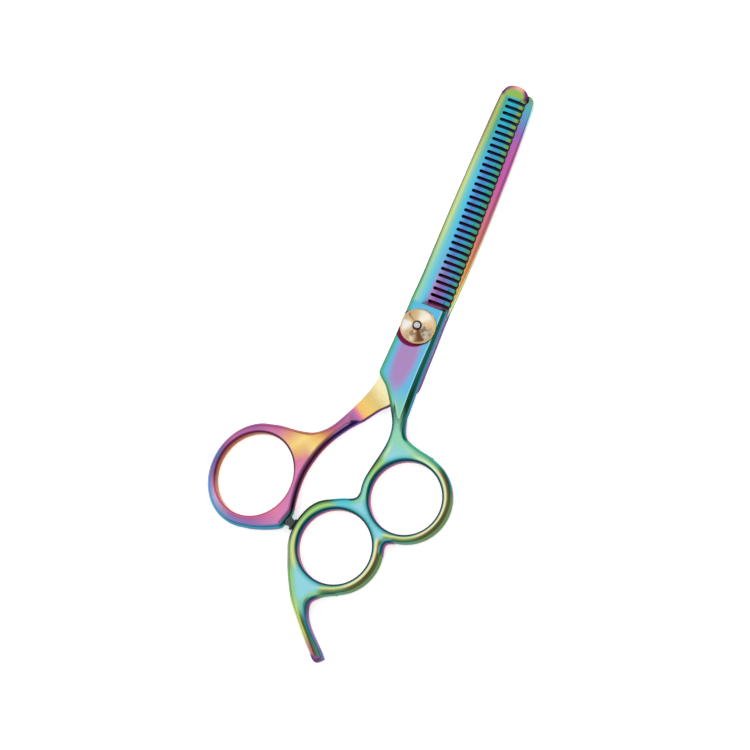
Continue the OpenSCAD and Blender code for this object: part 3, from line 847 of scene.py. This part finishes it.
def comb_paint():
    p = coating("rainbow_comb")
    rings = ring_coat(p)
    # finger holes: dark teal at the rim, through navy and purple to crimson inside
    handle = hole_coat(p, neck_coat(p, rings), [
        (0.6, 205, 165, 160), (1.2, 165, 105, 115), (2.2, 150, 60, 110), (3.3, 85, 45, 120),
        (4.1, 30, 45, 100), (4.55, 10, 60, 75), (4.88, 20, 95, 100), (5.0, 50, 135, 130)], [
        (4.1, 165, 80, 115), (4.4, 120, 55, 120), (4.7, 45, 60, 110), (4.93, 40, 100, 110),
        (5.0, 85, 150, 130)], -0.45, 0.25)
    handle = rest_coat(p, handle)
    block, block_back = block_coat(p)
    blade, blade_back = blade_coat(p)
    on_blade, on_handle = p.fade(p.y, 5.8, 7.2), p.fade(p.y, -22, -31)
    colour = p.mix(on_handle, p.mix(on_blade, block, blade), handle)
    # the back has the same bands as the front, without the wall colours
    back = p.mix(on_handle, p.mix(on_blade, block_back, blade_back), rings)
    colour = p.mix(p.fade(p.nz, -0.6, -0.9), colour, back)
    return polished(p, colour, 0.14)


# ------------------------------ coating of the plain half
def flat_coat(p, past):
    """The plain blade and the gold flat, as far as the step, followed by the same for their back."""
    x, y, z = p.x, p.y, p.z
    strip = p.along(y, [
        (7, 200, 220, 190), (9, 230, 220, 150), (12, 245, 210, 115), (20, 240, 160, 95), (31, *CORAL),
        (39, 210, 110, 150), (48, 200, 95, 170), (57, 190, 100, 170), (62, 150, 110, 190),
        (65, 110, 145, 205), (69, 90, 175, 195), (73, 130, 165, 120)])
    tip = p.table(y, TIP_LINE)
    teeth_shade_mask = p.fade(p.minus(x, tip), 0.1, -0.25)
    # the inner face, painted dark as shade so that the slots between the teeth look dark; it also shows
    # when the shears are open
    inner_face_shade = p.along(y, [(7, 70, 30, 40), (28, 60, 30, 60), (50, 40, 35, 75), (73, 35, 60, 80)])
    blade = p.mix(teeth_shade_mask, strip, inner_face_shade)
    flat_end = p.along(past, [
        (-12, 250, 250, 215), (-9, 250, 240, 185), (-6, 230, 205, 130), (-3.0, *GOLD),
        (-1.0, 250, 195, 115), (-0.2, 240, 140, 150), (0.8, 205, 110, 180)])
    brushed = p.noise(2.0, 4.0, (0.2, 5.0, 55))
    flat_end = p.mix(p.times(p.fade(brushed, 0.45, 0.75), 0.3), flat_end, rgb(175, 135, 75))
    low = p.mix(p.fade(y, 4, 6), flat_end, blade)
    low_wall = p.along(z, [
        (0.0, 150, 140, 110), (0.8, 90, 55, 100), (1.6, 85, 75, 150), (2.4, 95, 100, 160),
        (3.0, 60, 90, 110)], "EASE")
    strip_wall = p.along(z, [(0.8, 75, 130, 95), (1.9, 150, 185, 150), (2.8, 215, 230, 190)], "EASE")
    low_wall = p.mix(p.fade(y, 5, 8), low_wall, strip_wall)
    flat_wall = p.along(z, [(0.0, 170, 110, 150), (1.5, 85, 50, 110), (2.8, 45, 35, 80)], "EASE")
    low_wall = p.mix(p.fade(y, -18, -21), low_wall, flat_wall)
    low = p.mix(p.fade(p.nz, 0.6, 0.3), low, low_wall)
    return low, p.mix(p.fade(y, 4, 6), flat_end, strip)


def thumb_coat(p):
    """The shank and the thumb ring, whose colour turns with the place round the ring, followed by
    the same for their back."""
    x, y, z, nz, across = p.x, p.y, p.z, p.nz, p.across
    phi = turn_angle(p, p.minus(x, THUMB[0]), p.minus(y, THUMB[1]))
    ring_in = p.along(phi, [
        (-180, 140, 85, 145), (-165, 190, 130, 175), (-150, 230, 175, 200), (-120, 180, 75, 140),
        (-90, 190, 90, 155), (-60, 235, 125, 160), (-30, 205, 120, 175), (0, 230, 130, 190),
        (14, 225, 120, 160), (24, 225, 170, 105), (35, 250, 210, 125), (48, 240, 180, 130),
        (60, 230, 140, 170), (90, 175, 120, 165), (120, 185, 110, 160), (140, 130, 80, 150),
        (150, 80, 85, 140), (162, 115, 80, 140), (180, 140, 85, 145)])
    ring_out = p.along(phi, [
        (-180, 160, 155, 205), (-150, 90, 170, 220), (-120, 90, 160, 210), (-98, 125, 130, 190),
        (-82, 160, 130, 185), (-60, 205, 140, 195), (-30, 210, 145, 200), (0, 210, 140, 190),
        (16, 230, 150, 160), (24, 245, 205, 140), (34, 250, 230, 150), (46, 225, 150, 125),
        (60, 190, 100, 150), (90, 165, 80, 160), (120, 220, 125, 190), (138, 175, 120, 180),
        (150, 120, 170, 225), (162, 145, 135, 190), (180, 165, 160, 205)])
    ring = p.mix(p.t, ring_in, ring_out)
    shank = p.along(y, [
        (-43, 250, 220, 140), (-40, 245, 195, 115), (-38, 215, 140, 100), (-36, 195, 105, 130),
        (-33, 180, 110, 165), (-30, 205, 130, 185)])
    top = p.mix(p.fade(p.plus(x, p.times(y, 0.6)), -43.0, -39.5), ring, shank)
    top_back = top
    gold = near(p, x, y, -17.5, -41, 5.5)
    # painted shade: on the gold part the sloping faces turn brown and dark red, and the flat stays pale
    # gold
    lean_up = p.ramp(nz, [
        (0.0, 120, 70, 60), (0.4, 160, 90, 100), (0.8, 190, 115, 75), (0.95, 240, 200, 120),
        (1.0, 250, 220, 140)])
    top = p.mix(p.times(gold, p.fade(nz, 0.99, 0.93)), top, lean_up)
    # walls: dark purple toward the finger rings, the ring colours turned deeper elsewhere
    wall_right = p.along(z, [
        (0.4, 175, 140, 160), (1.3, 140, 90, 115), (2.2, 155, 75, 100), (3.1, 115, 50, 70),
        (3.9, 65, 30, 50), (4.4, 65, 30, 55), (4.75, 120, 65, 110), (4.95, 190, 120, 170)], "EASE")
    wall_shank = p.along(z, [
        (0.4, 190, 130, 165), (1.5, 150, 80, 145), (2.6, 100, 55, 130), (3.6, 45, 35, 100),
        (4.4, 35, 30, 75), (4.85, 170, 120, 170)], "EASE")
    wall_right = p.mix(p.fade(p.plus(x, p.times(y, 0.6)), -36, -31), wall_right, wall_shank)
    wall_left = p.ramp(p.scaled(p.plus(phi, 22.5), -180, 180), [
        (0.0, 120, 140, 205), (0.12, 85, 165, 215), (0.25, 40, 140, 155), (0.33, 45, 120, 140),
        (0.42, 90, 60, 130), (0.5, *PURPLE), (0.7, 165, 90, 110), (0.8, 150, 80, 120), (0.9, 150, 85, 130),
        (0.96, 140, 100, 170), (1.0, 120, 140, 205)])
    wall_low = p.along(z, [
        (0.4, 130, 140, 160), (1.8, 85, 110, 150), (3.4, 65, 115, 155), (4.4, 60, 135, 160),
        (4.9, 120, 125, 190)], "EASE")
    wall_right = p.mix(p.fade(phi, -50, -68), wall_right, wall_low)
    inward = p.fade(across, 0.1, 0.45)
    wall = p.mix(gold, p.mix(inward, wall_left, wall_right), p.mix(inward, lean_up, wall_right))
    handle = p.mix(p.fade(nz, 0.93, 0.55), top, wall)
    handle = p.mix(p.times(inward, p.fade(nz, 0.97, 0.88)), handle, wall_right)
    # the thumb hole: copper at the rim, through brown to gold inside
    handle = hole_coat(p, handle, [
        (0.6, 200, 175, 140), (1.4, 180, 125, 75), (2.5, 170, 100, 55), (3.4, 150, 80, 50),
        (4.1, 130, 60, 50), (4.5, 90, 40, 60), (4.85, 110, 50, 85), (5.0, 165, 95, 150)], [
        (4.1, 180, 135, 100), (4.3, 195, 125, 85), (4.6, 205, 105, 100), (4.88, 210, 100, 135),
        (5.0, 220, 120, 165)], -0.5, 0.3)
    boss = p.fade(p.plus(x, p.times(y, -0.3)), 4.4, 5.6)
    boss = p.times(boss, p.fade(y, -60, -63))
    return p.mix(boss, handle, rgb(45, 140, 140)), top_back


def plain_paint():
    p = coating("rainbow_plain")
    past = p.plus(p.times(p.minus(p.x, STEP_AT[0]), STEP_DIR[0]),
                  p.times(p.minus(p.y, STEP_AT[1]), STEP_DIR[1]))
    low, low_back = flat_coat(p, past)
    handle, handle_back = thumb_coat(p)
    on_handle = p.fade(past, 0.0, 1.6)
    colour = p.mix(on_handle, low, handle)
    # the back has the same bands as the front, without the wall colours
    back = p.mix(on_handle, low_back, handle_back)
    colour = p.mix(p.fade(p.nz, -0.6, -0.9), colour, back)
    return polished(p, colour, 0.15)


def lathe_rings(p, r):
    """Fine rings round the axis, as turning leaves them."""
    return p.math("MULTIPLY_ADD", p.math("SINE", p.times(r, 40.0)), 0.5, 0.5)


def fan_gold():
    """Pale gold, spun, with painted reflections: bright and brown fans spread from the middle."""
    p = Paint("pale_gold")
    x, y, _ = p.place()
    angle = p.times(p.math("ARCTAN2", y, x), 180 / math.pi)
    wobble = p.noise(0.5, 2.0)
    angle = p.plus(angle, p.math("MULTIPLY_ADD", wobble, 16.0, -8.0))
    pale, beige, dark = (255, 250, 240), (230, 205, 160), (120, 80, 50)
    # painted reflections: pale, beige and dark brown fans by the angle round the axis
    fan = p.along(angle, [
        (-180, *pale), (-150, *pale), (-134, *beige), (-112, 205, 170, 130), (-96, 240, 230, 205),
        (-80, 190, 150, 110), (-66, *dark), (-48, *dark), (-40, 240, 220, 195), (-22, 245, 235, 215),
        (5, 230, 200, 150), (35, 240, 210, 170), (62, 255, 250, 230), (88, 250, 240, 220),
        (112, 230, 205, 160), (140, 215, 180, 130), (146, 150, 110, 75), (151, 225, 195, 150),
        (168, *beige), (180, *pale)])
    r = p.length(x, y)
    # painted reflection: a mottled brown patch in the dark fan
    dark_reflection_mottle = p.times(p.fade(p.noise(0.7, 2.0), 0.42, 0.62), near(p, x, y, 1.6, -2.4, 4.6))
    fan = p.mix(p.times(dark_reflection_mottle, 0.75), fan, rgb(110, 80, 55))
    fan = p.mix(p.fade(r, 4.3, 5.0), fan, rgb(220, 190, 140))
    # painted shade: brown round the stud, in its recess
    fan = p.mix(p.fade(r, 1.7, 1.1), fan, rgb(120, 80, 50))
    return p.finish(fan, 1.0, p.math("MULTIPLY_ADD", wobble, 0.08, 0.26), lathe_rings(p, r), 0.03)


def turned_metal(name, colour, dark, rough):
    p = Paint(name)
    x, y, _ = p.place()
    fine = p.noise(3.0, 3.0)
    colour = p.mix(p.times(fine, 0.35), colour, dark)
    t = p.node("ShaderNodeTangent", direction_type="RADIAL", axis="Z")
    return p.finish(colour, 1.0, p.math("MULTIPLY_ADD", fine, 0.1, rough),
                    lathe_rings(p, p.length(x, y)), 0.05, Anisotropic=0.6, Tangent=t.outputs[0])


def moulded(name, colour, worn, rough):
    p = Paint(name)
    fine = p.noise(2.5, 4.0)
    mixed = p.mix(p.fade(fine, 0.35, 0.7), colour, worn)
    return p.finish(mixed, 0.0, p.math("MULTIPLY_ADD", fine, 0.2, rough), fine, 0.2)


comb.data.materials.append(comb_paint())
plain.data.materials.append(plain_paint())
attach(comb, "comb_body")
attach(plain, "plain_body")
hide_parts("comb_half")
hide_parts("plain_half")

FINISH = {
    "tension_knob": fan_gold(),
    "knob_stud": turned_metal("bright_steel", rgb(225, 225, 230), rgb(170, 170, 175), 0.10),
    "pivot_screw": turned_metal("screw_steel", rgb(190, 190, 195), rgb(140, 140, 145), 0.22),
    "wave_washer": turned_metal("spring_steel", rgb(175, 175, 180), rgb(120, 120, 125), 0.28),
    "rear_bush": turned_metal("bush_steel", rgb(190, 190, 195), rgb(140, 140, 145), 0.25),
    "pivot_sleeve": turned_metal("bronze", rgb(190, 140, 80), rgb(140, 95, 50), 0.3),
    "click_washer": moulded("black_nylon", rgb(30, 30, 30), rgb(50, 50, 50), 0.35),
    "glide_washer": moulded("white_ptfe", rgb(235, 235, 230), rgb(210, 210, 205), 0.4),
    "bumper": moulded("dark_rubber", rgb(50, 55, 60), rgb(85, 90, 90), 0.55),
}
for node, mat in FINISH.items():
    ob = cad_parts[node]
    for s in ob.material_slots:
        s.material = mat

# ------------------------------ floor, light and camera
scene = bpy.context.scene
FLOOR_HALF = 3.0         # half the floor's side, in metres
floor_mesh = bpy.data.meshes.new("floor")
corners = [(FLOOR_HALF * i, FLOOR_HALF * j, 0) for i, j in ((-1, -1), (1, -1), (1, 1), (-1, 1))]
floor_mesh.from_pydata(corners, [], [(0, 1, 2, 3)])
floor = bpy.data.objects.new("floor", floor_mesh)
floor.location.z = -0.05 * MM        # just below the shears, so that no faces coincide
scene.collection.objects.link(floor)
white = Paint("pale_floor")
floor_mesh.materials.append(white.finish(
    white.mix(white.noise(0.02, 2.0), rgb(250, 250, 250), rgb(255, 255, 255)), 0.0, 0.6,
    Emission_Color=(1.0, 1.0, 1.0, 1.0), Emission_Strength=0.45))

# Soft studio surroundings: a bright ceiling, a dimmer horizon and one dark panel high on the
# finger-ring side, which gives the polished edges their dark lines.
world = Paint.__new__(Paint)             # the same helpers, on the world's nodes
scene.world = bpy.data.worlds.new("studio")
scene.world.use_nodes = True
world.nt = scene.world.node_tree
direction = world.node("ShaderNodeTexCoord").outputs["Generated"]
sky = world.levels(world.parts(direction)["Z"], [(height, (bright,) * 3) for height, bright in (
    (0.0, 0.6), (0.1, 0.45), (0.32, 0.6), (0.5, 0.92), (1.0, 1.0))], "EASE")
PANEL = (0.42, -0.10, 0.90)              # the direction in which the dark panel lies
dot = world.node("ShaderNodeVectorMath", operation="DOT_PRODUCT")
world.put(dot.inputs[0], direction)
world.put(dot.inputs[1], PANEL)
sky = world.mix(world.fade(dot.outputs["Value"], 0.93, 0.985), sky, (0.45, 0.45, 0.45))
ground = world.nt.nodes["Background"]
world.put(ground.inputs["Color"], sky)
world.put(ground.inputs["Strength"], 0.98)


def softbox(name, place, size, power):
    """A soft lamp aimed at the shears, with its place and size in metres."""
    light = bpy.data.lights.new(name, "AREA")
    light.shape = "RECTANGLE"
    light.size, light.size_y = size
    light.energy = power
    ob = bpy.data.objects.new(name, light)
    ob.location = place
    ob.rotation_euler = (-Vector(place)).to_track_quat("-Z", "Y").to_euler()
    ob.visible_glossy = False
    scene.collection.objects.link(ob)


softbox("key_light", (-0.5, 0.45, 0.9), (1.2, 1.0), 3.0)
softbox("fill_light", (0.7, -0.5, 0.8), (1.2, 1.2), 2.0)

# The camera looks steeply down from the finger-ring side.
VIEW_AZ, VIEW_EL, ROLL = math.radians(67.5), math.radians(74.5), math.radians(22.5)
DISTANCE = 1.2           # in metres
VIEW_WIDTH = 211.9       # width of the picture at the shears
AIM_RIGHT, AIM_UP = -12.9, -12.95     # from the pivot to the middle of the picture
SENSOR = 36              # width of the camera's sensor
back = Vector((math.sin(VIEW_AZ) * math.cos(VIEW_EL), -math.cos(VIEW_AZ) * math.cos(VIEW_EL),
               math.sin(VIEW_EL)))
up0 = (Vector((0, 1, 0)) - back * back.y).normalized()
right0 = up0.cross(back)
right = math.cos(ROLL) * right0 + math.sin(ROLL) * up0
up = math.cos(ROLL) * up0 - math.sin(ROLL) * right0
pivot = Vector((0, 0, 3.0)) * MM
aim = pivot + (right * AIM_RIGHT + up * AIM_UP) * MM
cam_data = bpy.data.cameras.new("camera")
cam_data.sensor_width = SENSOR
cam_data.lens = SENSOR * DISTANCE / (VIEW_WIDTH * MM)
cam_data.clip_start, cam_data.clip_end = 0.05, 20
cam = bpy.data.objects.new("camera", cam_data)
cam.matrix_world = Matrix.Translation(aim + back * DISTANCE) @ Matrix(
    (right, up, back)).transposed().to_4x4()
scene.collection.objects.link(cam)
scene.camera = cam
scene.view_settings.view_transform = "Standard"
